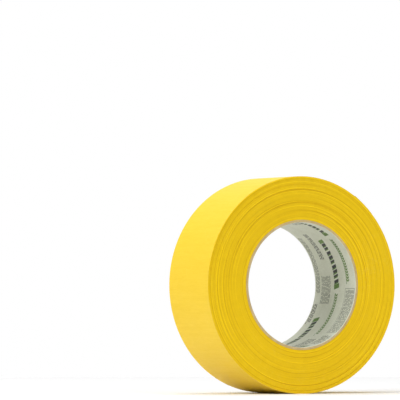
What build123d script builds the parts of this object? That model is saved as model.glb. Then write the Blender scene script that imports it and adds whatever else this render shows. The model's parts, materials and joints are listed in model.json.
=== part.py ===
from build123d import *

import math
import os

# A roll of masking tape on a paperboard core, standing on its rim. Lengths are in millimetres.
# The roll's axis runs along Y, its front face looks to -Y, and Z is up. The origin is the centre of the core.

# The tape strip: a creped paper backing with an adhesive film on its inner side
tape_width = 48.0
tape_length = 55000.0
backing_thickness = 0.13
adhesive_thickness = 0.033

# The core: a printed paper liner around the bore, then three spiral-wound board plies
core_bore_radius = 38.3
liner_thickness = 0.15
board_ply_thickness = 0.48
board_ply_names = ("inner_board_ply", "middle_board_ply", "outer_board_ply")

# Each layer of the core is a strip wound in a helix, with a narrow butt joint between its turns
seam_gap = 0.5
seam_lead = 138.0
liner_seam_angle = 110.0
board_seam_angle = 200.0
board_seam_step = 115.0
seam_overcut = 1.0

# The free end of the strip, which lifts about the peel line. Angles go from +X towards +Z.
peel_line_angle = 40.0
free_end_length = 18.0
free_end_clearance = 0.06
peel_line_gap = 0.03

# The roll's radii follow from how much tape is wound on the core
tape_thickness = backing_thickness + adhesive_thickness
core_outer_radius = core_bore_radius + liner_thickness + len(board_ply_names) * board_ply_thickness
full_roll_radius = math.sqrt(core_outer_radius**2 + tape_length * tape_thickness / math.pi)
outer_lap_length = 2 * math.pi * full_roll_radius
pack_length = tape_length - outer_lap_length - free_end_length
pack_radius = math.sqrt(core_outer_radius**2 + pack_length * tape_thickness / math.pi)
outer_lap_radius = pack_radius + tape_thickness
free_end_radius = outer_lap_radius + free_end_clearance


def across_roll(angle):
    """The plane of the roll's back face, with its first axis at an angle round the roll. It faces the front."""
    turn = math.radians(angle)
    return Plane(
        origin=(0, tape_width / 2, 0),
        x_dir=(math.cos(turn), 0, math.sin(turn)),
        z_dir=(0, -1, 0),
    )


def spiral_turn(start_radius):
    """One turn of the wound strip as two half circles. Their centres lie half a thickness apart, so that the
    turn starts at start_radius and ends one thickness further out."""
    shift = tape_thickness / 2
    first_half = CenterArc((0, 0), start_radius, 0, 180)
    second_half = CenterArc((shift, 0), start_radius + shift, 180, 180)
    return first_half + second_half


def radial_edge(inner_radius, outer_radius):
    """A short straight edge on the peel line."""
    return Line((inner_radius, 0), (outer_radius, 0))


def across_width(section):
    """A section drawn from the peel line, carried across the width of the tape."""
    return extrude(across_roll(peel_line_angle) * section, amount=tape_width)


def wound_tape():
    """All the laps under the outermost one. Its outside is one turn of the spiral, with the step that a lap ends in."""
    step = radial_edge(pack_radius, pack_radius + tape_thickness)
    outline = make_face(spiral_turn(pack_radius) + step)
    return across_width(outline - Circle(core_outer_radius))


def outer_lap_layer(inner_radius, thickness):
    """One layer of the outermost lap, a full turn from step to step."""
    outer_radius = inner_radius + thickness
    start = radial_edge(inner_radius, outer_radius)
    end = radial_edge(inner_radius + tape_thickness, outer_radius + tape_thickness)
    return across_width(make_face(spiral_turn(inner_radius) + end + spiral_turn(outer_radius) + start))


def free_end_layer(inner_radius, thickness):
    """One layer of the free end, an arc that starts just past the peel line."""
    start = math.degrees(peel_line_gap / inner_radius)
    sweep = math.degrees(free_end_length / free_end_radius)
    inner_arc = CenterArc((0, 0), inner_radius, start, sweep)
    outer_arc = CenterArc((0, 0), inner_radius + thickness, start, sweep)
    root = Line(inner_arc @ 0, outer_arc @ 0)
    tip = Line(inner_arc @ 1, outer_arc @ 1)
    return across_width(make_face(inner_arc + tip + outer_arc + root))


def helical_slot(inner_radius, outer_radius, angle):
    """The butt joint of one core layer: a thin blade that twists as it crosses the core."""
    blade_length = tape_width + 2 * seam_overcut
    middle_radius = (inner_radius + outer_radius) / 2
    blade_depth = outer_radius - inner_radius + 2 * seam_overcut
    face = across_roll(angle).offset(-seam_overcut) * Pos(middle_radius, 0) * Rectangle(blade_depth, seam_gap)
    return Solid.extrude_linear_with_rotation(
        section=face.face(),
        center=(0, tape_width / 2 + seam_overcut, 0),
        normal=(0, -blade_length, 0),
        angle=360 * blade_length / seam_lead,
    )


def core_layer(inner_radius, thickness, seam_angle):
    """One paper or board layer of the core, a tube with its helical butt joint."""
    outer_radius = inner_radius + thickness
    ring = Circle(outer_radius) - Circle(inner_radius)
    tube = extrude(across_roll(0) * ring, amount=tape_width)
    return tube - helical_slot(inner_radius, outer_radius, seam_angle)


def core_layers():
    """The liner and the board plies, each on the outside of the one before."""
    layers = {"printed_liner": core_layer(core_bore_radius, liner_thickness, liner_seam_angle)}
    for number, name in enumerate(board_ply_names):
        inner_radius = core_bore_radius + liner_thickness + number * board_ply_thickness
        seam_angle = board_seam_angle + number * board_seam_step
        layers[name] = core_layer(inner_radius, board_ply_thickness, seam_angle)
    return layers


def tape_pieces():
    """The wound laps, the outermost lap and the free end."""
    return {
        "wound_tape": wound_tape(),
        "outer_lap_adhesive": outer_lap_layer(pack_radius, adhesive_thickness),
        "outer_lap_backing": outer_lap_layer(pack_radius + adhesive_thickness, backing_thickness),
        "free_end_adhesive": free_end_layer(free_end_radius, adhesive_thickness),
        "free_end_backing": free_end_layer(free_end_radius + adhesive_thickness, backing_thickness),
    }


def main():
    os.makedirs("parts", exist_ok=True)
    for name, shape in {**core_layers(), **tape_pieces()}.items():
        export_step(shape, f"parts/{name}.step")


main()
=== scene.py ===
import json
import logging
import math
from dataclasses import dataclass, replace
from enum import Enum
from typing import Any, Mapping, Sequence

import bpy
import numpy as np
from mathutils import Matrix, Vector


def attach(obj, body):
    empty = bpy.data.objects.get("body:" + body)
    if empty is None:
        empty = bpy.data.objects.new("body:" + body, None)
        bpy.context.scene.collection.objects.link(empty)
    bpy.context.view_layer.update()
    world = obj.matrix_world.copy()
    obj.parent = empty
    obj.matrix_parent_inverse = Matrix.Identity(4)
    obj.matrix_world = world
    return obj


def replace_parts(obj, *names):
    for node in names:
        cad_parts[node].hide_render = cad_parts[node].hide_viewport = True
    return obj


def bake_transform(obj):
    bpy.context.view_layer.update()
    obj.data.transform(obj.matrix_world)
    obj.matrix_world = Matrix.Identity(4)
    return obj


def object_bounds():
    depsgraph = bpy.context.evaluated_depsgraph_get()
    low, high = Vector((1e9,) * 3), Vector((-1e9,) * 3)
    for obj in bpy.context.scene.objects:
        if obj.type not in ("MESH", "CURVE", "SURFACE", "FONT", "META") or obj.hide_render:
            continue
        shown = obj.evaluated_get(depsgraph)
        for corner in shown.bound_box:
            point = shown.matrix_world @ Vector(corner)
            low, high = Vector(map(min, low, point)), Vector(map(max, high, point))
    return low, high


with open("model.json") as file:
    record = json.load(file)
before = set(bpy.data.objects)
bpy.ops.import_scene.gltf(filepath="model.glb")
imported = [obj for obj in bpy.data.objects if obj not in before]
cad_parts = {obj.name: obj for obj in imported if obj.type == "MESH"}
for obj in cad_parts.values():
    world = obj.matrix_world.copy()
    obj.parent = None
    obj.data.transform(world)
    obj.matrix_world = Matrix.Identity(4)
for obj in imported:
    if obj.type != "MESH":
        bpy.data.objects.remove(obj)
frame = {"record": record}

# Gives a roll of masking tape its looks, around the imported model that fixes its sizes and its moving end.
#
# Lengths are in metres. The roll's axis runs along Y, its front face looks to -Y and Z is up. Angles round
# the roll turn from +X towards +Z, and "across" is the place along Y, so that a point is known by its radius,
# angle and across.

CAD_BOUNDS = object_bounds()
LOG = logging.getLogger("masking_tape_roll")
MM = 0.001
TURN = 2 * math.pi
ROLL_BODY = "roll"


# ---------------------------------------------------------------- sizes

@dataclass(frozen=True)
class RollSizes:
    """Sizes of the whole roll. The bore, the width and the peel line come from the frame."""

    bore_radius: float
    width: float
    peel_angle: float
    peel_radius: float
    liner: float = 0.15 * MM
    board_ply: float = 0.48 * MM
    board_plies: tuple[str, ...] = ("inner_board_ply", "middle_board_ply", "outer_board_ply")
    seam_gap: float = 0.5 * MM
    seam_lead: float = 138 * MM
    backing: float = 0.13 * MM
    adhesive: float = 0.033 * MM
    free_end_clearance: float = 0.06 * MM
    free_end_length: float = 18 * MM

    @classmethod
    def from_frame(cls, record: Mapping[str, Any]) -> "RollSizes":
        """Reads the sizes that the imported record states.

        Args:
            record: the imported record, with its mounts and joints.

        Returns:
            The sizes of the roll.
        """
        bore = next(mount for mount in record["mounts"] if mount["name"] == "core_bore")["dims"]
        x, _, z = record["behaviour"]["joints"][0]["pos_m"]
        return cls(bore["r_mm"] * MM, bore["length_mm"] * MM, math.atan2(z, x), math.hypot(x, z))

    @property
    def tape(self) -> float:
        """Thickness of the strip, backing and adhesive together."""
        return self.backing + self.adhesive

    @property
    def core_radius(self) -> float:
        """Outer radius of the core."""
        return self.bore_radius + self.liner + len(self.board_plies) * self.board_ply

    @property
    def pack_radius(self) -> float:
        """Outer radius of the laps under the outermost one, just past the peel line."""
        return self.peel_radius - self.free_end_clearance - 2 * self.tape

    @property
    def front(self) -> float:
        """Place across of the front face."""
        return -self.width / 2


# ---------------------------------------------------------------- shapes

def polar_places(radius: np.ndarray, angle: np.ndarray, across: np.ndarray) -> np.ndarray:
    """Turns roll coordinates into points.

    x is the radius times the cosine of the angle, y is across, and z is the radius times the angle's
    sine.

    Args:
        radius: distances from the axis.
        angle: angles round the roll, in radians.
        across: places along the axis.

    Returns:
        Points of the arrays' common shape, with x, y and z last.
    """
    radius, angle, across = np.broadcast_arrays(radius, angle, across)
    return np.stack([radius * np.cos(angle), across, radius * np.sin(angle)], axis=-1)


def sweep_faces(stations: int, loop: int, sweeps: int = 1) -> tuple[np.ndarray, np.ndarray]:
    """Faces of a closed section carried along a path.

    They are quads between each station and the next, and a cap at each end.

    Args:
        stations: sections along the path.
        loop: points round each section.
        sweeps: equal sweeps, one after another in the vertex order.

    Returns:
        The quads, four indices each, and the caps, loop indices each.
    """
    station, point = np.meshgrid(np.arange(stations - 1), np.arange(loop), indexing="ij")
    beside = (point + 1) % loop
    corners = (station, point), (station, beside), (station + 1, beside), (station + 1, point)
    quads = np.stack([s * loop + p for s, p in corners], axis=-1).reshape(-1, 4)
    caps = np.stack([np.arange(loop)[::-1], (stations - 1) * loop + np.arange(loop)])
    first = (np.arange(sweeps) * stations * loop)[:, None, None]
    return (first + quads).reshape(-1, 4), (first + caps).reshape(-1, loop)


def signed_volume(places: np.ndarray, polygons: np.ndarray) -> float:
    """Adds up the tetrahedra that the fan triangles of each polygon make with the origin.

    Args:
        places: points, one row each.
        polygons: faces of one size, one row of indices each.

    Returns:
        Six times their volume, above zero for faces that look outwards on a closed shell.
    """
    first, rest = places[polygons[:, 0]], places[polygons[:, 1:]]
    normals = np.cross(rest[:, :-1], rest[:, 1:])
    return float(np.einsum("ij,ikj->", first, normals))


def make_piece(
    name: str,
    places: np.ndarray,
    quads: np.ndarray,
    caps: np.ndarray | None = None,
    crease_deg: float = 50,
    marks: Mapping[str, np.ndarray] | None = None,
) -> bpy.types.Object:
    """Writes one closed shell into a new object at the origin, with its faces turned outwards.

    Args:
        name: the piece's name.
        places: vertices, one row each.
        quads: faces with four corners.
        caps: faces with more corners, all of one size.
        crease_deg: edges that fold more than this stay sharp.
        marks: values or vectors for each vertex, by attribute name, for materials to read.

    Returns:
        The new object.
    """
    groups = [quads] if caps is None else [quads, caps]
    if sum(signed_volume(places, group) for group in groups) < 0:
        groups = [group[:, ::-1] for group in groups]
    corners = np.concatenate([group.ravel() for group in groups])
    sizes = np.concatenate([np.full(len(group), group.shape[1]) for group in groups])
    mesh = bpy.data.meshes.new(name)
    mesh.vertices.add(len(places))
    mesh.loops.add(len(corners))
    mesh.polygons.add(len(sizes))
    mesh.vertices.foreach_set("co", places.astype(np.float32).ravel())
    mesh.loops.foreach_set("vertex_index", corners.astype(np.int32))
    mesh.polygons.foreach_set("loop_start", (np.cumsum(sizes) - sizes).astype(np.int32))
    mesh.polygons.foreach_set("use_smooth", np.ones(len(sizes), dtype=bool))
    mesh.update(calc_edges=True)
    mesh.validate()
    mesh.set_sharp_from_angle(angle=math.radians(crease_deg))
    for key, values in (marks or {}).items():
        kind, word = ("FLOAT_VECTOR", "vector") if values.ndim == 2 else ("FLOAT", "value")
        attribute = mesh.attributes.new(key, kind, "POINT")
        attribute.data.foreach_set(word, values.astype(np.float32).ravel())
    piece = bpy.data.objects.new(name, mesh)
    bpy.context.scene.collection.objects.link(piece)
    return piece


def bent_slab(
    name: str,
    angle: np.ndarray,
    across: np.ndarray,
    near: np.ndarray,
    far: np.ndarray,
    far_columns: Sequence[int] | None = None,
    marks: Mapping[str, np.ndarray] | None = None,
    crease_deg: float = 50,
) -> bpy.types.Object:
    """Makes a closed sheet that bends round the roll.

    Its section at each station is the near side's columns and then the far side's in the opposite
    order, so that the sweep closes at both edges.

    Args:
        name: the piece's name.
        angle: angle of each station and column.
        across: place across of each station and column.
        near: radius of the detailed side at each station and column.
        far: radius of the other side at each station and column.
        far_columns: the columns that the far side keeps, or None for all of them.
        marks: values for each station and column, by attribute name; the far side repeats them.
        crease_deg: edges that fold more than this stay sharp.

    Returns:
        The new object.
    """
    shape = np.broadcast_shapes(angle.shape, across.shape, near.shape, far.shape)
    columns = np.arange(shape[1]) if far_columns is None else np.asarray(far_columns)
    back = columns[::-1]

    def around(values: np.ndarray) -> np.ndarray:
        """The values round each section, near side first."""
        values = np.broadcast_to(values, shape + values.shape[2:])
        return np.concatenate([values, values[:, back]], axis=1)

    near_side = polar_places(near, angle, across)
    far_side = polar_places(far, angle, across)
    near_side, far_side = (np.broadcast_to(side, shape + (3,)) for side in (near_side, far_side))
    places = np.concatenate([near_side, far_side[:, back]], axis=1)
    strip = np.stack(np.broadcast_arrays(angle * near.mean(), across, np.zeros(shape)), axis=-1)
    flat_marks = {"strip": around(strip).reshape(-1, 3)}
    flat_marks |= {key: around(values).ravel() for key, values in (marks or {}).items()}
    quads, caps = sweep_faces(shape[0], shape[1] + len(columns))
    return make_piece(name, places.reshape(-1, 3), quads, caps, crease_deg, flat_marks)


def smooth_noise(
    shape: tuple[int, int], reach: tuple[float, float], seed: int, steps: tuple[float, float]
) -> np.ndarray:
    """White noise blurred by a bell curve of its own width in each direction.

    It is set to a mean of 0 and a spread of 1.

    Args:
        shape: rows and columns.
        reach: width of the bell curve down and along.
        seed: seed of the noise.
        steps: distance from a row to the next and from a column to the next, in reach's units.

    Returns:
        The noise, of the given shape.
    """
    noise = np.random.default_rng(seed).standard_normal(shape)
    down, along = (np.fft.fftfreq(count, step) for count, step in zip(shape, steps))
    damping = (down[:, None] * reach[0]) ** 2 + (along[None, :] * reach[1]) ** 2
    blurred = np.fft.ifft2(np.fft.fft2(noise) * np.exp(-2 * math.pi**2 * damping)).real
    return (blurred - blurred.mean()) / blurred.std()


# ---------------------------------------------------------------- shading

def linear(red: int, green: int, blue: int) -> tuple[float, float, float, float]:
    """Turns a screen colour into scene light, by the sRGB curve.

    Args:
        red: 0 to 255, and so are the others.
        green: see red.
        blue: see red.

    Returns:
        The colour with alpha 1.
    """
    share = np.array([red, green, blue]) / 255
    light = np.where(share <= 0.04045, share / 12.92, ((share + 0.055) / 1.055) ** 2.4)
    return (*map(float, light), 1.0)


class NodeSheet:
    """Adds nodes to one node tree and links them."""

    def __init__(self, tree: bpy.types.NodeTree) -> None:
        """Keeps the tree and empties it."""
        self.tree = tree
        tree.nodes.clear()

    def add(self, kind: str, inputs: Mapping[Any, Any] | None = None, **settings: Any) -> bpy.types.Node:
        """Adds a node.

        Args:
            kind: the node's type after ShaderNode.
            inputs: by input name or number, a socket to link or a value to set.
            settings: properties of the node.

        Returns:
            The node.
        """
        node = self.tree.nodes.new(kind if kind.startswith("Node") else f"ShaderNode{kind}")
        for key, value in settings.items():
            setattr(node, key, value)
        for key, value in (inputs or {}).items():
            if isinstance(value, bpy.types.NodeSocket):
                self.tree.links.new(value, node.inputs[key])
            else:
                node.inputs[key].default_value = value
        return node

    def math(self, operation: str, *values: Any) -> bpy.types.NodeSocket:
        """The result of a Math node on sockets or numbers."""
        return self.add("Math", dict(enumerate(values)), operation=operation).outputs[0]

    def mix(self, factor: Any, first: Any, second: Any, blend: str = "MIX") -> bpy.types.NodeSocket:
        """The colour between two colours."""
        inputs = {"Factor": factor, 6: first, 7: second}
        return self.add("Mix", inputs, data_type="RGBA", blend_type=blend).outputs[2]

    def noise(
        self, vector: Any, scale: float, detail: float = 2, roughness: float = 0.5
    ) -> bpy.types.NodeSocket:
        """A noise value about 0.5."""
        inputs = {"Vector": vector, "Scale": scale, "Detail": detail, "Roughness": roughness}
        return self.add("TexNoise", inputs).outputs["Fac"]

    def stretched(self, vector: Any, factors: tuple[float, float, float]) -> bpy.types.NodeSocket:
        """The vector times a factor along each axis, which stretches a pattern the other way."""
        return self.add("Mapping", {"Vector": vector, "Scale": factors}).outputs[0]

    def range(
        self, value: Any, low: float, high: float, to_low: float, to_high: float
    ) -> bpy.types.NodeSocket:
        """The value carried from one range to another, held at its ends."""
        inputs = {0: value, 1: low, 2: high, 3: to_low, 4: to_high}
        return self.add("MapRange", inputs).outputs[0]


def new_group(
    name: str, inputs: Mapping[str, tuple[str, Any]], outputs: Mapping[str, str]
) -> tuple[bpy.types.NodeTree, NodeSheet, bpy.types.Node, bpy.types.Node]:
    """Starts a shader node group with named sockets.

    Args:
        name: the group's name.
        inputs: by socket name, its type after NodeSocket and its default or None.
        outputs: by socket name, its type after NodeSocket.

    Returns:
        The group, a sheet to fill it with, and its input and output nodes.
    """
    tree = bpy.data.node_groups.new(name, "ShaderNodeTree")
    for socket_name, (kind, default) in inputs.items():
        socket = tree.interface.new_socket(socket_name, in_out="INPUT", socket_type=f"NodeSocket{kind}")
        if default is not None:
            socket.default_value = default
    for socket_name, kind in outputs.items():
        tree.interface.new_socket(socket_name, in_out="OUTPUT", socket_type=f"NodeSocket{kind}")
    sheet = NodeSheet(tree)
    return tree, sheet, sheet.add("NodeGroupInput"), sheet.add("NodeGroupOutput")


def paper_fibre_group() -> bpy.types.NodeTree:
    """Pulp fibres of paper or board: fine noise drawn out in two directions over a soft cloudiness.

    Returns:
        A group that takes Vector and Density, in fibres a metre, and gives Tone and Height, both about
        0.5.
    """
    across_the_roll, round_the_roll = (1.0, 0.22, 1.0), (0.3, 1.1, 0.3)
    finer, cloud_scale = 1.3, 0.08
    fibre_share, cloud_share = 0.65, 0.35
    inputs = {"Vector": ("Vector", None), "Density": ("Float", 900.0)}
    tree, sheet, given, result = new_group("paper_fibre", inputs, {"Tone": "Float", "Height": "Float"})
    place = sheet.add("VectorMath", {0: given.outputs["Vector"]}, operation="SCALE")
    sheet.tree.links.new(given.outputs["Density"], place.inputs["Scale"])
    one_way = sheet.noise(sheet.stretched(place.outputs[0], across_the_roll), 1.0, 3)
    other_way = sheet.noise(sheet.stretched(place.outputs[0], round_the_roll), finer, 3)
    cloud = sheet.noise(place.outputs[0], cloud_scale, 2)
    fibres = sheet.math("MULTIPLY", sheet.math("ADD", one_way, other_way), 0.5)
    tone = sheet.math(
        "ADD", sheet.math("MULTIPLY", fibres, fibre_share), sheet.math("MULTIPLY", cloud, cloud_share)
    )
    sheet.tree.links.new(tone, result.inputs["Tone"])
    sheet.tree.links.new(fibres, result.inputs["Height"])
    return tree


def crepe_grain_group() -> bpy.types.NodeTree:
    """The finest creping of the backing, under the modelled wrinkles: noise drawn out across the strip.

    Returns:
        A group that takes Vector, the place along and across the strip, and gives Tone and Height.
    """
    fine_scale, coarse_scale, streak_scale = (4200, 620, 1), (1300, 110, 1), (420, 14, 1)
    outputs = {"Tone": "Float", "Height": "Float"}
    tree, sheet, given, result = new_group("crepe_grain", {"Vector": ("Vector", None)}, outputs)
    strip = given.outputs["Vector"]
    fine = sheet.noise(sheet.stretched(strip, fine_scale), 1.0, 2)
    coarse = sheet.noise(sheet.stretched(strip, coarse_scale), 1.0, 2)
    streak = sheet.noise(sheet.stretched(strip, streak_scale), 1.0, 1)
    tone = sheet.math("ADD", sheet.math("MULTIPLY", coarse, 0.5), sheet.math("MULTIPLY", streak, 0.5))
    height = sheet.math("MULTIPLY", sheet.math("ADD", fine, coarse), 0.5)
    sheet.tree.links.new(tone, result.inputs["Tone"])
    sheet.tree.links.new(height, result.inputs["Height"])
    return tree


def handling_group() -> bpy.types.NodeTree:
    """Faint dust and rubbing from handling, in soft patches.

    Returns:
        A group that takes Vector and Amount and gives Mask, 0 where clean and up to Amount where rubbed.
    """
    patch_scale, speck_scale = 28, 900
    inputs = {"Vector": ("Vector", None), "Amount": ("Float", 0.2)}
    tree, sheet, given, result = new_group("handling", inputs, {"Mask": "Float"})
    patch = sheet.range(sheet.noise(given.outputs["Vector"], patch_scale, 4, 0.6), 0.45, 0.75, 0, 1)
    speck = sheet.range(sheet.noise(given.outputs["Vector"], speck_scale, 2), 0.5, 0.75, 0, 1)
    mask = sheet.math("MULTIPLY", sheet.math("MULTIPLY", patch, speck), given.outputs["Amount"])
    sheet.tree.links.new(mask, result.inputs["Mask"])
    return tree


class Effects:
    """The shared node groups, each built once."""

    def __init__(self) -> None:
        """Builds them."""
        self.fibre = paper_fibre_group()
        self.crepe = crepe_grain_group()
        self.handling = handling_group()


@dataclass(frozen=True)
class Finish:
    """What every finish states: its name and its plain surface numbers.

    fibre_density is in fibres a metre, rubbed is how far handling shows, and relief is how deep the
    bump is.
    """

    name: str
    roughness: float = 0.6
    specular: float = 0.35
    fibre_density: float = 1800.0
    rubbed: float = 0.3
    relief: float = 0.02 * MM

    def start(self) -> tuple[bpy.types.Material, NodeSheet, bpy.types.Node]:
        """Starts the material with a Principled surface that holds the plain numbers.

        Returns:
            The material, a sheet for its nodes, and the surface.
        """
        material = bpy.data.materials.new(self.name)
        material.use_nodes = True
        sheet = NodeSheet(material.node_tree)
        numbers = {"Roughness": self.roughness, "Specular IOR Level": self.specular}
        surface = sheet.add("BsdfPrincipled", numbers)
        sheet.add("OutputMaterial", {"Surface": surface.outputs[0]})
        return material, sheet, surface

    def fibres(self, sheet: NodeSheet, effects: Effects, place: Any) -> Any:
        """The outputs of the fibre group at the finish's own density."""
        inputs = {"Vector": place, "Density": self.fibre_density}
        return sheet.add("Group", node_tree=effects.fibre, inputs=inputs).outputs

    def rub(self, sheet: NodeSheet, effects: Effects, place: Any) -> bpy.types.NodeSocket:
        """The mask of the handling group at the finish's own amount."""
        inputs = {"Vector": place, "Amount": self.rubbed}
        return sheet.add("Group", node_tree=effects.handling, inputs=inputs).outputs["Mask"]

    def bump(self, sheet: NodeSheet, surface: bpy.types.Node, height: Any) -> None:
        """Feeds a height into the surface's normal, as deep as the finish's relief.

        Args:
            sheet: the material's sheet.
            surface: the Principled node.
            height: a value from 0 to 1.
        """
        bump = sheet.add("Bump", {"Height": height, "Distance": self.relief, "Strength": 1.0})
        sheet.tree.links.new(bump.outputs[0], surface.inputs["Normal"])


@dataclass(frozen=True)
class CrepePaper(Finish):
    """Dyed, creped paper with a release coat, with painted light: a painted highlight on the ridges and
    painted shade in the valleys.
    """

    fibre_density: float = 2400.0
    rubbed: float = 0.25
    relief: float = 0.014 * MM
    # Lit and shaded copies of the same yellow: painted highlight on the ridges, painted shade in the valleys.
    lit_ridge: tuple[float, ...] = linear(244, 206, 30)
    shaded_valley: tuple[float, ...] = linear(236, 197, 18)
    dusty: tuple[float, ...] = linear(250, 226, 120)
    wrinkle_shade_share: float = 0.3
    fibre_share: float = 0.25
    valley_roughness: float = 0.62
    ridge_roughness: float = 0.5

    def material(self, effects: Effects) -> bpy.types.Material:
        """Builds the material, which reads the strip and crepe attributes.

        Args:
            effects: the shared node groups.

        Returns:
            The material.
        """
        material, sheet, surface = self.start()
        strip = sheet.add("Attribute", attribute_name="strip").outputs["Vector"]
        wrinkle = sheet.add("Attribute", attribute_name="crepe").outputs["Fac"]
        place = sheet.add("TexCoord").outputs["Object"]
        grain = sheet.add("Group", node_tree=effects.crepe, inputs={"Vector": strip}).outputs
        fibre = self.fibres(sheet, effects, place)
        grain_tone = sheet.range(grain["Tone"], 0.3, 0.7, 0, 1 - self.wrinkle_shade_share)
        # Painted shade and painted highlight: the wrinkle height darkens the valleys and lightens the ridges,
        # on top of the grain's random tone.
        tone = sheet.math("ADD", sheet.math("MULTIPLY", wrinkle, self.wrinkle_shade_share), grain_tone)
        colour = sheet.mix(tone, self.shaded_valley, self.lit_ridge)
        colour = sheet.mix(self.rub(sheet, effects, place), colour, self.dusty)
        roughness = sheet.range(tone, 0, 1, self.valley_roughness, self.ridge_roughness)
        fibre_height = sheet.math("MULTIPLY", fibre["Height"], self.fibre_share)
        height = sheet.math("ADD", grain["Height"], fibre_height)
        sheet.tree.links.new(colour, surface.inputs["Base Color"])
        sheet.tree.links.new(roughness, surface.inputs["Roughness"])
        self.bump(sheet, surface, height)
        return material


@dataclass(frozen=True)
class LapEdges(Finish):
    """The slit edges of the laps: toned lap by lap, with painted shade on laps that stand back and in the
    grooves, a painted highlight on laps that stand proud, and fibres torn by the knife.
    """

    fibre_density: float = 3200.0
    rubbed: float = 0.2
    relief: float = 0.03 * MM
    deep: tuple[float, ...] = linear(216, 172, 4)
    bright: tuple[float, ...] = linear(250, 212, 22)
    dusty: tuple[float, ...] = linear(250, 226, 120)
    fibre_tone: float = 0.12

    def material(self, effects: Effects) -> bpy.types.Material:
        """Builds the material, which reads the lap tone attribute, that holds painted shade and painted
        highlight.

        Args:
            effects: the shared node groups.

        Returns:
            The material.
        """
        material, sheet, surface = self.start()
        tone = sheet.add("Attribute", attribute_name="lap_tone_and_shade").outputs["Fac"]
        place = sheet.add("TexCoord").outputs["Object"]
        fibre = self.fibres(sheet, effects, place)
        torn = sheet.range(fibre["Tone"], 0.35, 0.65, -self.fibre_tone, self.fibre_tone)
        # The lap tone is partly random drift and partly painted shade and painted highlight from how far each
        # lap stands back.
        colour = sheet.mix(sheet.math("ADD", tone, torn), self.deep, self.bright)
        colour = sheet.mix(self.rub(sheet, effects, place), colour, self.dusty)
        sheet.tree.links.new(colour, surface.inputs["Base Color"])
        self.bump(sheet, surface, fibre["Height"])
        return material


@dataclass(frozen=True)
class PulpPaper(Finish):
    """Undyed paper or board, with its fibres in two tones and a little soil."""

    light: tuple[float, ...] = linear(219, 221, 205)
    dark: tuple[float, ...] = linear(202, 204, 184)
    soil: tuple[float, ...] = linear(170, 165, 145)

    def material(self, effects: Effects) -> bpy.types.Material:
        """Builds the material on Object coordinates.

        Args:
            effects: the shared node groups.

        Returns:
            The material.
        """
        material, sheet, surface = self.start()
        place = sheet.add("TexCoord").outputs["Object"]
        fibre = self.fibres(sheet, effects, place)
        colour = sheet.mix(sheet.range(fibre["Tone"], 0.35, 0.65, 0, 1), self.dark, self.light)
        colour = sheet.mix(self.rub(sheet, effects, place), colour, self.soil)
        sheet.tree.links.new(colour, surface.inputs["Base Color"])
        self.bump(sheet, surface, fibre["Height"])
        return material


@dataclass(frozen=True)
class Ink(Finish):
    """Thin printing ink: a flat colour that lets the paper's fibres show where the ink ran short."""

    fibre_density: float = 2600.0
    relief: float = 0.008 * MM
    full: tuple[float, ...] = linear(40, 42, 38)
    starved: tuple[float, ...] = linear(84, 86, 78)

    def material(self, effects: Effects) -> bpy.types.Material:
        """Builds the material on Object coordinates.

        Args:
            effects: the shared node groups.

        Returns:
            The material.
        """
        material, sheet, surface = self.start()
        place = sheet.add("TexCoord").outputs["Object"]
        fibre = self.fibres(sheet, effects, place)
        colour = sheet.mix(sheet.range(fibre["Tone"], 0.45, 0.7, 0, 1), self.full, self.starved)
        sheet.tree.links.new(colour, surface.inputs["Base Color"])
        self.bump(sheet, surface, fibre["Height"])
        return material


@dataclass(frozen=True)
class AdhesiveFilm(Finish):
    """Tacky rubber adhesive: glossy, pale amber over the paper's dye, with fine drag lines."""

    clear: tuple[float, ...] = linear(238, 200, 66)
    cloudy: tuple[float, ...] = linear(246, 218, 110)
    blotch_scale: float = 350.0
    clear_roughness: float = 0.22
    cloudy_roughness: float = 0.38

    def material(self, effects: Effects) -> bpy.types.Material:
        """Builds the material, which reads the strip attribute.

        Args:
            effects: the shared node groups.

        Returns:
            The material.
        """
        material, sheet, surface = self.start()
        strip = sheet.add("Attribute", attribute_name="strip").outputs["Vector"]
        grain = sheet.add("Group", node_tree=effects.crepe, inputs={"Vector": strip}).outputs
        blotch = sheet.range(sheet.noise(strip, self.blotch_scale, 3), 0.4, 0.65, 0, 1)
        roughness = sheet.range(blotch, 0, 1, self.clear_roughness, self.cloudy_roughness)
        sheet.tree.links.new(sheet.mix(blotch, self.clear, self.cloudy), surface.inputs["Base Color"])
        sheet.tree.links.new(roughness, surface.inputs["Roughness"])
        self.bump(sheet, surface, grain["Height"])
        return material


@dataclass
class Palette:
    """Every material of the roll."""

    effects: Effects

    def __post_init__(self) -> None:
        """Builds the materials."""
        self.backing = CrepePaper("creped_paper", specular=0.5).material(self.effects)
        self.edges = LapEdges("slit_edges", roughness=0.7, specular=0.15).material(self.effects)
        self.adhesive = AdhesiveFilm("tacky_film", specular=0.5).material(self.effects)
        self.liner = PulpPaper("liner_stock", roughness=0.55).material(self.effects)
        board = PulpPaper(
            "spiral_board",
            roughness=0.85,
            specular=0.2,
            light=linear(214, 192, 146),
            dark=linear(188, 162, 112),
            soil=linear(150, 126, 84),
            fibre_density=1100.0,
            relief=0.05 * MM,
        )
        self.board = board.material(self.effects)
        green = Ink("green_ink", full=linear(80, 112, 40), starved=linear(122, 150, 84))
        grey = Ink("grey_ink", full=linear(96, 98, 86), starved=linear(132, 134, 120))
        self.dark_ink = Ink("dark_ink").material(self.effects)
        self.green_ink = green.material(self.effects)
        self.grey_ink = grey.material(self.effects)


def stand_in(piece: bpy.types.Object, node: str) -> bpy.types.Object:
    """Puts a piece on the roll's body, in place of its CAD node."""
    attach(piece, ROLL_BODY)
    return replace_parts(piece, node)


def dress(piece: bpy.types.Object, material: bpy.types.Material) -> bpy.types.Object:
    """Gives a piece its material and logs its triangles.

    Args:
        piece: the piece.
        material: the material.

    Returns:
        The piece.
    """
    piece.data.materials.append(material)
    triangles = sum(len(polygon.vertices) - 2 for polygon in piece.data.polygons)
    LOG.info("%s: %d triangles in %s", piece.name, triangles, material.name)
    return piece


# ---------------------------------------------------------------- the core

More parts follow.
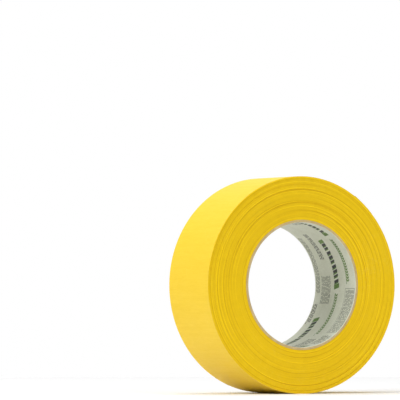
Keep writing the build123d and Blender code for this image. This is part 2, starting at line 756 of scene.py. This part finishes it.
@dataclass
class CoreLayer:
    """One strip of the spiral-wound core.

    Its turns meet at a helical butt joint, so that the strip is a grid whose angle grows from one side
    of the joint round to the other, and turns with the place across.
    """

    sizes: RollSizes
    name: str
    inner_radius: float
    thickness: float
    seam_angle_deg: float
    stations: int = 400
    columns: int = 33
    chamfer: float = 0.07 * MM
    rim_relief: float = 0.04 * MM
    rim_reach: float = 0.5 * MM
    rim_step: float = 0.6 * MM
    seed: int = 1

    def twist(self, across: np.ndarray) -> np.ndarray:
        """How far a joint has turned from the back face, a full turn in every lead across."""
        return TURN * (self.sizes.width / 2 - across) / self.sizes.seam_lead

    def grid(self) -> tuple[np.ndarray, np.ndarray]:
        """Angle and place across of each station and column.

        The stations run round from one side of the joint to the other, from an angle that is the
        joint's on the back face, seam_angle_deg, plus its twist across. The first and last columns are
        the rims, and the others lie evenly between the chamfers.

        Returns:
            The angles, for each station and column, and the places across, for each column.
        """
        half_gap = self.sizes.seam_gap / 2 / self.inner_radius
        round_core = np.linspace(half_gap, TURN - half_gap, self.stations)[:, None]
        rim = self.sizes.width / 2
        between = np.linspace(self.chamfer - rim, rim - self.chamfer, self.columns - 2)
        across = np.concatenate([[-rim], between, [rim]])[None, :]
        return math.radians(self.seam_angle_deg) + self.twist(across) + round_core, across

    def build(self) -> bpy.types.Object:
        """Makes the strip, with rims that the saw left chamfered and slightly uneven.

        The rim columns are drawn in by the chamfer in radius, and across by rim_relief times a noise
        that is squeezed into 0 to 1.

        Returns:
            The piece.
        """
        angle, across = self.grid()
        rims = [0, -1]
        reach, steps = (self.rim_reach, 1 * MM), (self.rim_step, 1 * MM)
        uneven = smooth_noise((self.stations, len(rims)), reach, self.seed, steps)
        across = np.repeat(across, self.stations, axis=0)
        across[:, rims] -= np.sign(across[:, rims]) * self.rim_relief * (0.5 + 0.5 * np.tanh(uneven))
        inset = np.zeros(across.shape)
        inset[:, rims] = self.chamfer
        outer_radius = self.inner_radius + self.thickness
        return bent_slab(self.name, angle, across, self.inner_radius + inset, outer_radius - inset)


@dataclass
class PrintedLiner(CoreLayer):
    """The liner, which shows the board joint beneath it as a faint helical dent."""

    stations: int = 480
    columns: int = 49
    chamfer: float = 0.03 * MM
    board_seam_deg: float = 200.0
    dent: float = 0.05 * MM
    dent_width: float = 1.1 * MM
    waviness: float = 0.02 * MM
    wave_reach: tuple[float, float] = (6 * MM, 5 * MM)

    def build(self) -> bpy.types.Object:
        """Makes the liner.

        Its radius is the bore's, plus a bell curve across the board joint, which is the dent, and a
        soft waviness.

        Returns:
            The piece.
        """
        angle, across = self.grid()
        from_joint = angle - math.radians(self.board_seam_deg) - self.twist(across)
        from_joint = (from_joint + math.pi) % TURN - math.pi
        bell = np.exp(-((from_joint * self.inner_radius / self.dent_width) ** 2))
        steps = (TURN * self.inner_radius / self.stations, self.sizes.width / self.columns)
        waves = 0.5 + 0.5 * np.tanh(smooth_noise(angle.shape, self.wave_reach, self.seed, steps))
        near = self.inner_radius + self.dent * bell + self.waviness * waves
        near[:, [0, -1]] += self.chamfer
        far = np.full(angle.shape, self.inner_radius + self.thickness)
        return bent_slab(self.name, angle, across, near, far)


class MotifKind(Enum):
    """The printed motifs. All are plain shapes that say nothing."""

    BARS = "slanting bars between two diamonds"
    CHEVRONS = "chevrons over a thin rule"
    FINE = "rows of fine dashes"
    HEAVY = "rows of short heavy dashes"


class InkColour(Enum):
    """The liner's three inks."""

    DARK = "dark"
    GREEN = "green"
    GREY = "grey"


@dataclass(frozen=True)
class Motif:
    """One motif on the liner.

    It starts at an angle round the core and runs down from there, and lies between two depths from the
    front edge, in millimetres.
    """

    kind: MotifKind
    start_deg: float
    length_deg: float
    depth: float
    height: float
    framed: bool = False


@dataclass(frozen=True)
class DashStyle:
    """How rows of dashes are set: their ink, pitch, thickness and usual length, in millimetres."""

    ink: InkColour
    pitch: float
    thick: float
    length: float


def mark_rows(start: Any, end: Any, low: Any, high: Any, slant: Any) -> np.ndarray:
    """Lists marks as rows, from arrays or single numbers.

    Args:
        start: where each mark starts along its row of print.
        end: where it ends.
        low: depth of its near side.
        high: depth of its far side.
        slant: how far its far side runs on.

    Returns:
        One row a mark, in that order.
    """
    return np.stack(np.broadcast_arrays(start, end, low, high, slant), axis=1).astype(float)


@dataclass
class LinerPrint:
    """The liner's print, as films of ink on the paper.

    Each mark is a patch between two angles and two depths from the front edge, and its far side may be
    slanted. Motifs are laid out in millimetres, from their own start along the row.
    """

    sizes: RollSizes
    fine_dashes: DashStyle = DashStyle(InkColour.GREY, 1.2, 0.55, 2.0)
    heavy_dashes: DashStyle = DashStyle(InkColour.DARK, 1.7, 0.85, 2.6)
    film: float = 0.012 * MM
    sunk: float = 0.03 * MM
    long_mark: float = 6 * MM
    short_stations: int = 4
    long_stations: int = 48
    seed: int = 7

    def motifs(self) -> list[Motif]:
        """The layout: four rows of motifs that step round the core, and again half a turn on.

        Returns:
            The motifs.
        """
        half = [
            Motif(MotifKind.BARS, 104, 52, 6.0, 6.0),
            Motif(MotifKind.CHEVRONS, 48, 47, 7.5, 3.4),
            Motif(MotifKind.FINE, -4, 45, 1.8, 9.6, framed=True),
            Motif(MotifKind.FINE, -54, 18, 1.6, 10.0),
            Motif(MotifKind.BARS, 48, 52, 19.5, 6.0),
            Motif(MotifKind.CHEVRONS, -7.5, 47.5, 20.5, 3.4),
            Motif(MotifKind.FINE, -60, 44, 14.5, 9.5),
            Motif(MotifKind.HEAVY, 56, 31, 31.5, 5.2),
            Motif(MotifKind.FINE, 9, 26.5, 29.8, 10.0),
            Motif(MotifKind.BARS, -31, 52, 33.5, 6.0),
            Motif(MotifKind.FINE, 51, 58, 42.5, 4.4),
            Motif(MotifKind.HEAVY, -17, 22, 42.5, 4.4),
        ]
        again = [replace(motif, start_deg=motif.start_deg + 180) for motif in half]
        return half + again

    def patches(self, motif: Motif, rng: np.random.Generator) -> dict[InkColour, np.ndarray]:
        """The marks of one motif.

        Args:
            motif: the motif.
            rng: source of the dashes' lengths.

        Returns:
            The marks by ink, as mark_rows lists them.
        """
        length = math.radians(motif.length_deg) * self.sizes.bore_radius / MM
        low, high = motif.depth, motif.depth + motif.height
        if motif.kind is MotifKind.BARS:
            return self.bars(length, low, high)
        if motif.kind is MotifKind.CHEVRONS:
            return self.chevrons(length, low, high)
        style = self.fine_dashes if motif.kind is MotifKind.FINE else self.heavy_dashes
        rows = np.arange(low, high - style.thick / 2, style.pitch)
        marks = [self.dashes(length, row, style, rng) for row in rows]
        if motif.framed:
            marks.append(self.frame_rules(length, low, high))
        return {style.ink: np.concatenate(marks)}

    def dashes(self, length: float, row: float, style: DashStyle, rng: np.random.Generator) -> np.ndarray:
        """A row of dashes of uneven length.

        Each starts a gap after the one before, and its length is the style's times a random share.

        Args:
            length: how long the row is.
            row: its depth.
            style: how its dashes are set.
            rng: source of their lengths.

        Returns:
            The dashes.
        """
        gap, least, most, indent, last = 0.6, 0.45, 1.6, 0.8, 1
        count = int(length / (style.length + gap)) + 3
        lengths = style.length * rng.uniform(least, most, count)
        starts = np.concatenate([[0], np.cumsum(lengths + gap)[:-1]]) + rng.uniform(0, indent)
        keep = starts < length - last
        ends = np.minimum(starts + lengths, length)
        return mark_rows(starts, ends, row, row + style.thick, 0.0)[keep]

    def frame_rules(self, length: float, low: float, high: float) -> np.ndarray:
        """Four thin rules round a block of dashes.

        Args:
            length: how long the block is.
            low: depth of its near side.
            high: depth of its far side.

        Returns:
            The rules.
        """
        rule, margin = 0.25, 0.7
        near, far = low - margin, high + margin
        sides = np.array([near, far - rule])
        ends = np.array([-margin, length + margin - rule])
        along = mark_rows(-margin, length + margin, sides, sides + rule, 0.0)
        across = mark_rows(ends, ends + rule, near, far, 0.0)
        return np.concatenate([along, across])

    def bars(self, length: float, low: float, high: float) -> dict[InkColour, np.ndarray]:
        """A row of slanting dark bars, each with a thin green bar beside it, between two green lozenges.

        The bars stand a pitch apart that fits a whole number of them between the lozenges, and every
        third one is narrower.

        Args:
            length: how long the motif is.
            low: depth of its near side.
            high: depth of its far side.

        Returns:
            The patches by ink.
        """
        lozenge, slant, thin, gap, inset = 2.8, 1.3, 0.75, 0.1, 0.45
        about_apart, indent, between, narrowing = 3.2, 0.3, 0.45, 0.6
        inner = length - 2 * lozenge - slant
        pitch = inner / round(inner / about_apart)
        starts = np.arange(lozenge + indent, length - lozenge - slant - 0.5 * pitch, pitch)
        narrower = np.where(np.arange(len(starts)) % 3 == 1, narrowing, 0.0)
        ends = starts + pitch - thin - between - narrower
        dark = mark_rows(starts, ends, low + inset, high - inset, slant)
        beside = mark_rows(ends + gap, ends + gap + thin, low + 2 * inset, high - inset / 2, slant)
        corners = np.array([0.0, length - lozenge - slant])
        lozenges = mark_rows(corners, corners + lozenge, low, high, slant)
        return {InkColour.DARK: dark, InkColour.GREEN: np.concatenate([beside, lozenges])}

    def chevrons(self, length: float, low: float, high: float) -> dict[InkColour, np.ndarray]:
        """A green band of chevrons that point along the row, over a rule.

        A chevron is two strokes that lean opposite ways and meet half way.

        Args:
            length: how long the motif is.
            low: depth of its near side.
            high: depth of its far side.

        Returns:
            The patches by ink.
        """
        stroke, lean, pitch, rule_height, gap = 1.15, 1.0, 1.75, 0.5, 0.15
        starts = np.arange(0, length - stroke - lean, pitch)
        top = high - rule_height - gap
        middle = (low + top) / 2
        there = mark_rows(starts, starts + stroke, low, middle, lean)
        back = mark_rows(starts + lean, starts + lean + stroke, middle, top, -lean)
        rule = mark_rows(np.array([0.0]), length, high - rule_height, high, 0.0)
        return {InkColour.GREEN: np.concatenate([there, back, rule])}

    def films(self, marks: np.ndarray, stations: int) -> tuple[np.ndarray, np.ndarray]:
        """Lays marks on the liner as thin closed films that bend with it.

        A film is a rectangle section, from low to high depth and from inside the paper to the ink's
        surface, that is carried along its length.

        Args:
            marks: rows of start angle in radians, then start, end, low, high and slant in metres.
            stations: sections along each film.

        Returns:
            The vertices and the quads.
        """
        share = np.linspace(0, 1, stations)[None, :, None]
        angle, start, end, low, high, slant = marks.T[:, :, None, None]
        side = np.array([0, 1, 1, 0])
        lift = np.array([-self.film, -self.film, self.sunk, self.sunk])
        along = start + share * (end - start) + side * slant
        across = self.sizes.front + low + side * (high - low)
        places = polar_places(self.sizes.bore_radius + lift, angle - along / self.sizes.bore_radius, across)
        return places.reshape(-1, 3), np.concatenate(sweep_faces(stations, 4, len(marks)))

    def build_ink(self, ink: InkColour, marks: np.ndarray) -> bpy.types.Object:
        """Makes one ink's piece, with more stations on long marks, so that they keep to the liner's curve.

        Args:
            ink: which ink.
            marks: its marks, as films takes them.

        Returns:
            The piece.
        """
        is_long = marks[:, 2] - marks[:, 1] > self.long_mark
        places, quads = self.films(marks[~is_long], self.short_stations)
        if is_long.any():
            more_places, more_quads = self.films(marks[is_long], self.long_stations)
            quads = np.concatenate([quads, more_quads + len(places)])
            places = np.concatenate([places, more_places])
        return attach(make_piece(f"liner_ink_{ink.value}", places, quads), ROLL_BODY)

    def build(self) -> dict[InkColour, bpy.types.Object]:
        """Gathers the marks of every motif by ink and makes one piece of each ink.

        Returns:
            The pieces by ink.
        """
        rng = np.random.default_rng(self.seed)
        gathered: dict[InkColour, list[np.ndarray]] = {ink: [] for ink in InkColour}
        for motif in self.motifs():
            for ink, marks in self.patches(motif, rng).items():
                start = np.full((len(marks), 1), math.radians(motif.start_deg))
                gathered[ink].append(np.concatenate([start, marks * MM], axis=1))
        return {ink: self.build_ink(ink, np.concatenate(parts)) for ink, parts in gathered.items()}


@dataclass
class Core:
    """The whole core: its liner, the liner's print and the board plies."""

    sizes: RollSizes
    palette: Palette
    liner_seam_deg: float = 110.0
    board_seam_deg: float = 200.0
    board_seam_step_deg: float = 115.0

    def build(self) -> None:
        """Makes and dresses every piece of the core."""
        sizes, palette = self.sizes, self.palette
        liner = PrintedLiner(
            sizes,
            "liner_sheet",
            sizes.bore_radius,
            sizes.liner,
            self.liner_seam_deg,
            board_seam_deg=self.board_seam_deg,
        )
        dress(stand_in(liner.build(), "printed_liner"), palette.liner)
        inks = {
            InkColour.DARK: palette.dark_ink,
            InkColour.GREEN: palette.green_ink,
            InkColour.GREY: palette.grey_ink,
        }
        for ink, piece in LinerPrint(sizes).build().items():
            dress(piece, inks[ink])
        for number, node in enumerate(sizes.board_plies):
            inner_radius = sizes.bore_radius + sizes.liner + number * sizes.board_ply
            seam = self.board_seam_deg + number * self.board_seam_step_deg
            ply = CoreLayer(sizes, f"{node}_strip", inner_radius, sizes.board_ply, seam, seed=number + 11)
            dress(stand_in(ply.build(), node), palette.board)


# ---------------------------------------------------------------- the tape

@dataclass(frozen=True)
class LapRing:
    """A ring on the side faces where the winding shifted.

    It has a radius, a width, how far its laps stand back, the angle where it shows most, and how far it
    strays from a circle.
    """

    radius: float
    width: float
    depth: float
    strongest_deg: float
    stray: float = 0.3 * MM


@dataclass
class WoundTape:
    """All the laps under the outermost one, as one closed shell.

    Both side faces are grids that follow the winding: a point's radius is the core's, plus the tape's
    thickness for each lap and for the share of a turn. Reaches are in laps and in turns.
    """

    sizes: RollSizes
    name: str = "wound_laps"
    stations: int = 148
    groove: float = 0.035 * MM
    # Painted shade: how much darker the tone is in each groove between laps.
    groove_painted_shade: float = 0.12
    line_depth: float = 0.11 * MM
    line_onset: float = 0.7
    line_reach: tuple[float, float] = (1.3, 0.09)
    band_reach: tuple[float, float] = (5.0, 0.09)
    band_share: float = 0.5
    drift_reach: tuple[float, float] = (5.0, 0.15)
    drift_tone: float = 0.02
    # Painted shade and painted highlight: a lap that stands back this far is one tone darker, and a lap
    # standing proud is lighter.
    painted_shade_depth: float = 0.2 * MM
    plain_tone: float = 0.62
    seed: int = 3

    def rings(self) -> list[LapRing]:
        """The rings that stand out, from the core outwards.

        Returns:
            The rings.
        """
        return [
            LapRing(41.0 * MM, 0.24 * MM, -0.02 * MM, 90),
            LapRing(42.2 * MM, 0.15 * MM, 0.14 * MM, 200),
            LapRing(43.9 * MM, 0.14 * MM, 0.09 * MM, 100),
            LapRing(45.9 * MM, 0.15 * MM, 0.13 * MM, 20),
            LapRing(47.3 * MM, 0.18 * MM, -0.03 * MM, 300),
            LapRing(50.2 * MM, 0.15 * MM, 0.11 * MM, 60),
            LapRing(51.9 * MM, 0.17 * MM, 0.16 * MM, 150),
            LapRing(54.1 * MM, 0.15 * MM, 0.13 * MM, 260),
            LapRing(56.5 * MM, 0.18 * MM, -0.03 * MM, 80),
            LapRing(58.7 * MM, 0.17 * MM, 0.16 * MM, 20, 0.5 * MM),
            LapRing(60.9 * MM, 0.16 * MM, -0.04 * MM, 210),
            LapRing(62.2 * MM, 0.15 * MM, 0.14 * MM, 170, 0.4 * MM),
            LapRing(64.9 * MM, 0.17 * MM, 0.15 * MM, 230),
        ]

    def spread(self, lap: np.ndarray, reach: tuple[float, float], seed: int) -> np.ndarray:
        """Noise over the lap number and the angle, which joins up with itself after each turn.

        The noise wraps in the angle while the lap number goes on. A value between its rows is the two
        rows' mix.

        Args:
            lap: lap number of each station and column, with its share of a turn.
            reach: how far a feature reaches, in laps and in turns.
            seed: seed of the noise.

        Returns:
            The noise at each station and column.
        """
        rows_a_lap, spare_laps = 4, 8
        shape = (rows_a_lap * (math.ceil(lap.max()) + spare_laps), self.stations)
        noise = smooth_noise(shape, reach, seed, (1 / rows_a_lap, 1 / self.stations))
        row = np.floor(lap * rows_a_lap).astype(int)
        share = lap * rows_a_lap - row
        column = np.arange(self.stations + 1)[:, None] % self.stations
        return noise[row, column] * (1 - share) + noise[row + 1, column] * share

    def standing_back(
        self, lap: np.ndarray, angle: np.ndarray, radius: np.ndarray, seed: int
    ) -> np.ndarray:
        """How far each point of a side face stands back into the roll.

        It is the sum of short lines and of the rings, each a bell curve over the radius that fades on
        one side of the roll. The lines are where a noise passes its onset. The same noise blurred wider
        is taken off it first, so that they stay apart and don't gather into bands.

        Args:
            lap: lap number of each point, with its share of a turn.
            angle: angle of each point from the peel line.
            radius: radius of each point.
            seed: seed of the lines, which differ from face to face.

        Returns:
            The distances, in metres.
        """
        bands = self.band_share * self.spread(lap, self.band_reach, seed)
        noise = self.spread(lap, self.line_reach, seed) - bands
        depth = self.line_depth * np.sign(noise) * np.maximum(np.abs(noise) - self.line_onset, 0)
        always, one_side = 0.55, 0.45
        for ring in self.rings():
            towards = angle + self.sizes.peel_angle - math.radians(ring.strongest_deg)
            from_ring = (radius - ring.radius - ring.stray * np.cos(2 * towards)) / ring.width
            depth = depth + ring.depth * (always + one_side * np.cos(towards)) * np.exp(-(from_ring**2))
        return depth

    def build(self) -> bpy.types.Object:
        """Makes the shell.

        Each lap has two rings of points, one in the groove beside it and one on the paper's edge. They
        run on into the next lap after each turn, so that the grid's last station is joined to its
        first, one lap on.

        Returns:
            The piece.
        """
        sizes = self.sizes
        laps = round((sizes.pack_radius - sizes.core_radius) / sizes.tape)
        pitch = (sizes.pack_radius - sizes.core_radius) / laps
        turn = np.linspace(0, TURN, self.stations + 1)[:, None]
        step = np.arange(2 * laps + 1)[None, :]
        lap = step / 2 + turn / TURN
        radius = sizes.core_radius + pitch * lap
        in_groove = step % 2 == 0
        drift_seeds = 20
        sides = []
        tones = []
        for face, seed in ((-1, self.seed), (1, self.seed + 1)):
            back = self.standing_back(lap, turn, radius, seed)
            across = face * (sizes.width / 2 - self.groove * in_groove - back)
            sides.append(polar_places(radius, turn + sizes.peel_angle, across))
            drift = self.drift_tone * self.spread(lap, self.drift_reach, seed + drift_seeds)
            # The tone is random drift, plus painted shade on laps standing back and in the grooves, and a
            # painted highlight on laps standing proud.
            tones.append(self.plain_tone - back / self.painted_shade_depth + drift - self.groove_painted_shade * in_groove)
        columns = step.size
        own_index = np.arange((self.stations + 1) * columns).reshape(self.stations + 1, columns)
        own_index[-1, :-2] = own_index[0, 2:]
        per_side = own_index.size
        front, rear = own_index, own_index + per_side

        def wall(one: np.ndarray, other: np.ndarray) -> np.ndarray:
            """Quads that join a run of front points to the same run on the rear."""
            return np.stack([front[one], front[other], rear[other], rear[one]], axis=-1).reshape(-1, 4)

        corners = front[:-1, :-1], front[1:, :-1], front[1:, 1:], front[:-1, 1:]
        grid = np.stack(corners, axis=-1).reshape(-1, 4)
        along = np.arange(self.stations)
        start, end = np.array([0, 1]), np.array([columns - 2, columns - 1])
        quads = np.concatenate([
            grid,
            grid[:, ::-1] + per_side,
            wall((along, -1), (along + 1, -1)),
            wall((along + 1, 0), (along, 0)),
            wall((0, start), (0, start + 1)),
            wall((-1, end), (-1, end - 1)),
        ])
        used, compact = np.unique(quads, return_inverse=True)
        places = np.concatenate([side.reshape(-1, 3) for side in sides])[used]
        marks = {"lap_tone_and_shade": np.concatenate([tone.ravel() for tone in tones])[used]}
        return make_piece(self.name, places, compact.reshape(-1, 4), crease_deg=60, marks=marks)


@dataclass
class OuterStrip:
    """The end of the strip: the outermost lap, and the free end that goes on from it past the peel line.

    One field of crepe wrinkles runs over both, so that they match where they meet. Reaches are along
    and across the strip.
    """

    sizes: RollSizes
    palette: Palette
    lap_stations: int = 1560
    free_end_refining: int = 4
    columns: int = 61
    wrinkle: float = 0.009 * MM
    wrinkle_reach: tuple[float, float] = (0.17 * MM, 1.2 * MM)
    swell_reach: tuple[float, float] = (0.9 * MM, 9 * MM)
    film_step: int = 4
    lift_from: float = 0.65
    tip_lift: float = 0.12 * MM
    tip_teeth: int = 30
    tooth_depth: float = 0.6 * MM
    bend_length: float = 3 * MM
    seed: int = 5

    def __post_init__(self) -> None:
        """Lays out the stations and the wrinkles, fine ones on broad swells, squeezed into -1 to 1."""
        fine_share, swell_share = 0.9, 0.35
        sizes = self.sizes
        step = TURN / self.lap_stations
        free_end_turn = sizes.free_end_length / sizes.peel_radius
        self.free_stations = round(free_end_turn / step)
        count = self.lap_stations + self.free_stations + 1
        self.turn = np.arange(count)[:, None] * step
        self.across = np.linspace(-0.5, 0.5, self.columns)[None, :] * sizes.width
        steps = (step * sizes.peel_radius, sizes.width / (self.columns - 1))
        fine = smooth_noise((count, self.columns), self.wrinkle_reach, self.seed, steps)
        swell = smooth_noise((count, self.columns), self.swell_reach, self.seed + 1, steps)
        self.crepe = np.tanh(fine_share * fine + swell_share * swell)

    def stretch(
        self, name: str, turn: np.ndarray, low: np.ndarray, high: np.ndarray, crepe: np.ndarray
    ) -> bpy.types.Object:
        """A closed stretch of one layer of the strip, detailed on its outer side.

        Args:
            name: the piece's name.
            turn: turn from the peel line, at each station and column or at each station alone.
            low: radius of its inner side there.
            high: radius of its outer side there.
            crepe: the wrinkles at each station and column.

        Returns:
            The piece.
        """
        turn, across, low, high = np.broadcast_arrays(turn, self.across, low, high, crepe)[:4]
        edges = (0, self.columns - 1)
        # The material reads this wrinkle height for painted shade in the valleys and a painted highlight on
        # the ridges.
        marks = {"crepe": crepe * 0.5 + 0.5}
        return bent_slab(name, turn + self.sizes.peel_angle, across, high, low, edges, marks)

    def build_lap(self) -> None:
        """Makes the outermost lap's backing and adhesive. The lap climbs by its own thickness in its turn."""
        sizes, palette = self.sizes, self.palette
        turn, crepe = self.turn[: self.lap_stations + 1], self.crepe[: self.lap_stations + 1]
        bottom = sizes.pack_radius + sizes.tape * turn / TURN
        middle = bottom + sizes.adhesive
        top = middle + sizes.backing + self.wrinkle * crepe
        paper = self.stretch("outer_lap_paper", turn, middle, top, crepe)
        dress(stand_in(paper, "outer_lap_backing"), palette.backing)
        every, edges = slice(None, None, self.film_step), [0, -1]
        angle, across = np.broadcast_arrays(turn[every] + sizes.peel_angle, self.across[:, edges])
        film = bent_slab("outer_lap_film", angle, across, middle[every], bottom[every])
        dress(stand_in(film, "outer_lap_adhesive"), palette.adhesive)

    def build_free_end(self) -> None:
        """Makes the free end's backing and adhesive, bent across the peel line.

        The free end climbs by its clearance over its first bend_length, lifts as the square of the way
        from lift_from to the tip, and ends in a zigzag cut: towards the tip, each column's turn is
        drawn back by a triangle wave over the width.
        """
        sizes, palette = self.sizes, self.palette
        count = self.free_stations * self.free_end_refining + 1
        rows = np.linspace(self.lap_stations, len(self.turn) - 1, count)
        whole = np.minimum(rows.astype(int), len(self.turn) - 2)
        between = (rows - whole)[:, None]
        crepe = self.crepe[whole] * (1 - between) + self.crepe[whole + 1] * between
        turn = self.turn[whole] * (1 - between) + self.turn[whole + 1] * between - TURN
        share = turn * sizes.peel_radius / sizes.free_end_length
        climb = np.clip(share * sizes.free_end_length / self.bend_length, 0, 1)
        lift = self.tip_lift * np.clip((share - self.lift_from) / (1 - self.lift_from), 0, 1) ** 2
        start = sizes.peel_radius - sizes.free_end_clearance - sizes.tape
        bottom = start + sizes.free_end_clearance * climb**2 * (3 - 2 * climb) + lift
        middle = bottom + sizes.adhesive
        top = middle + sizes.backing + self.wrinkle * crepe
        cut_fade = 6
        zigzag = np.abs((self.across / sizes.width + 0.5) * self.tip_teeth % 1 - 0.5) * 2
        drawn_back = zigzag * self.tooth_depth / sizes.free_end_length * np.clip(share, 0, 1) ** cut_fade
        cut = turn * (1 - drawn_back)
        paper = self.stretch("free_end_paper", cut, middle, top, crepe)
        film = self.stretch("free_end_film", cut, bottom, middle, crepe)
        for piece, node in ((paper, "free_end_backing"), (film, "free_end_adhesive")):
            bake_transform(piece)
            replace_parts(piece, node)
        dress(paper, palette.backing)
        dress(film, palette.adhesive)


@dataclass
class Tape:
    """The whole strip: the wound laps, the outermost lap and the free end."""

    sizes: RollSizes
    palette: Palette

    def build(self) -> None:
        """Makes and dresses every piece of the tape."""
        dress(stand_in(WoundTape(self.sizes).build(), "wound_tape"), self.palette.edges)
        strip = OuterStrip(self.sizes, self.palette)
        strip.build_lap()
        strip.build_free_end()


# ---------------------------------------------------------------- the studio

@dataclass(frozen=True)
class SoftLight:
    """A square soft box that looks at the roll."""

    name: str
    place: tuple[float, float, float]
    size: float
    power: float

    def build(self) -> None:
        """Adds the light."""
        lamp = bpy.data.lights.new(self.name, "AREA")
        lamp.shape = "SQUARE"
        lamp.size = self.size
        lamp.energy = self.power
        holder = bpy.data.objects.new(self.name, lamp)
        holder.location = self.place
        holder.rotation_mode = "QUATERNION"
        holder.rotation_quaternion = (-Vector(self.place)).to_track_quat("-Z", "Y")
        bpy.context.scene.collection.objects.link(holder)


@dataclass(frozen=True)
class StudioCamera:
    """A long-lens camera level with the roll, turned so that the roll stands low and right in the frame."""

    azimuth_deg: float = -31.0
    elevation_deg: float = -0.35
    distance: float = 2.5
    lens_mm: float = 366.8
    sensor_mm: float = 36.0
    right_share: float = 0.256
    down_share: float = 0.2124
    nearest: float = 0.05
    farthest: float = 50.0

    def build(self, target: Vector) -> None:
        """Adds the camera and makes it the scene's.

        Args:
            target: the point that stands right_share and down_share of the frame from its middle.
        """
        turn, rise = math.radians(self.azimuth_deg), math.radians(self.elevation_deg)
        back = Vector((math.sin(turn) * math.cos(rise), -math.cos(turn) * math.cos(rise), math.sin(rise)))
        right = Vector((0, 0, 1)).cross(back).normalized()
        up = back.cross(right)
        field = self.sensor_mm / self.lens_mm
        ahead = -back - right * (self.right_share * field) + up * (self.down_share * field)
        data = bpy.data.cameras.new("studio_camera")
        data.lens = self.lens_mm
        data.sensor_width = self.sensor_mm
        data.clip_start, data.clip_end = self.nearest, self.farthest
        camera = bpy.data.objects.new("studio_camera", data)
        camera.location = target + back * self.distance
        camera.rotation_mode = "QUATERNION"
        camera.rotation_quaternion = ahead.to_track_quat("-Z", "Y")
        bpy.context.scene.collection.objects.link(camera)
        bpy.context.scene.camera = camera


@dataclass(frozen=True)
class Studio:
    """A pale floor, an even pale surround and soft lights."""

    floor_radius: float = 0.6
    floor_sides: int = 96
    floor_paleness: float = 0.87
    floor_roughness: float = 0.9
    floor_specular: float = 0.1
    surround: float = 0.42
    lights: tuple[SoftLight, ...] = (
        SoftLight("key_light", (-1.9, -0.4, 1.5), 1.4, 31),
        SoftLight("front_light", (0.4, -2.2, 1.0), 1.6, 13.8),
        SoftLight("top_light", (0.0, 0.35, 2.3), 1.6, 28),
    )

    def build_floor(self, height: float) -> None:
        """Adds the floor, a wide disc.

        Args:
            height: its place along Z.
        """
        angle = np.linspace(0, TURN, self.floor_sides, endpoint=False)
        rim = np.stack([np.cos(angle), np.sin(angle), 0 * angle], axis=1) * self.floor_radius
        mesh = bpy.data.meshes.new("floor")
        mesh.from_pydata((rim + (0, 0, height)).tolist(), [], [list(range(len(rim)))])
        material = bpy.data.materials.new("floor")
        material.use_nodes = True
        surface = material.node_tree.nodes["Principled BSDF"]
        surface.inputs["Base Color"].default_value = (*[self.floor_paleness] * 3, 1)
        surface.inputs["Roughness"].default_value = self.floor_roughness
        surface.inputs["Specular IOR Level"].default_value = self.floor_specular
        mesh.materials.append(material)
        floor = bpy.data.objects.new("floor", mesh)
        bpy.context.scene.collection.objects.link(floor)

    def build_surround(self) -> None:
        """Sets the world: white where it is seen or mirrored, and dimmer as a light."""
        world = bpy.data.worlds.new("surround")
        world.use_nodes = True
        sheet = NodeSheet(world.node_tree)
        path = sheet.add("LightPath").outputs
        seen = sheet.math("MAXIMUM", path["Is Camera Ray"], path["Is Glossy Ray"])
        strength = sheet.range(seen, 0, 1, self.surround, 1.0)
        shade = sheet.add("Background", {"Color": (1, 1, 1, 1), "Strength": strength})
        sheet.add("OutputWorld", {"Surface": shade.outputs[0]})
        bpy.context.scene.world = world

    def build(self, floor_height: float) -> None:
        """Builds the studio.

        Args:
            floor_height: the floor's place along Z.
        """
        self.build_floor(floor_height)
        self.build_surround()
        for light in self.lights:
            light.build()
        bpy.context.scene.view_settings.view_transform = "Standard"


def main() -> None:
    """Builds the camera, the roll and the studio, in that order."""
    logging.basicConfig(level=logging.INFO, format="%(name)s: %(message)s")
    sizes = RollSizes.from_frame(frame["record"])
    StudioCamera().build(Vector((0, sizes.front, 0)))
    palette = Palette(Effects())
    Core(sizes, palette).build()
    Tape(sizes, palette).build()
    Studio().build(CAD_BOUNDS[0].z)


if __name__ == "__main__":
    main()
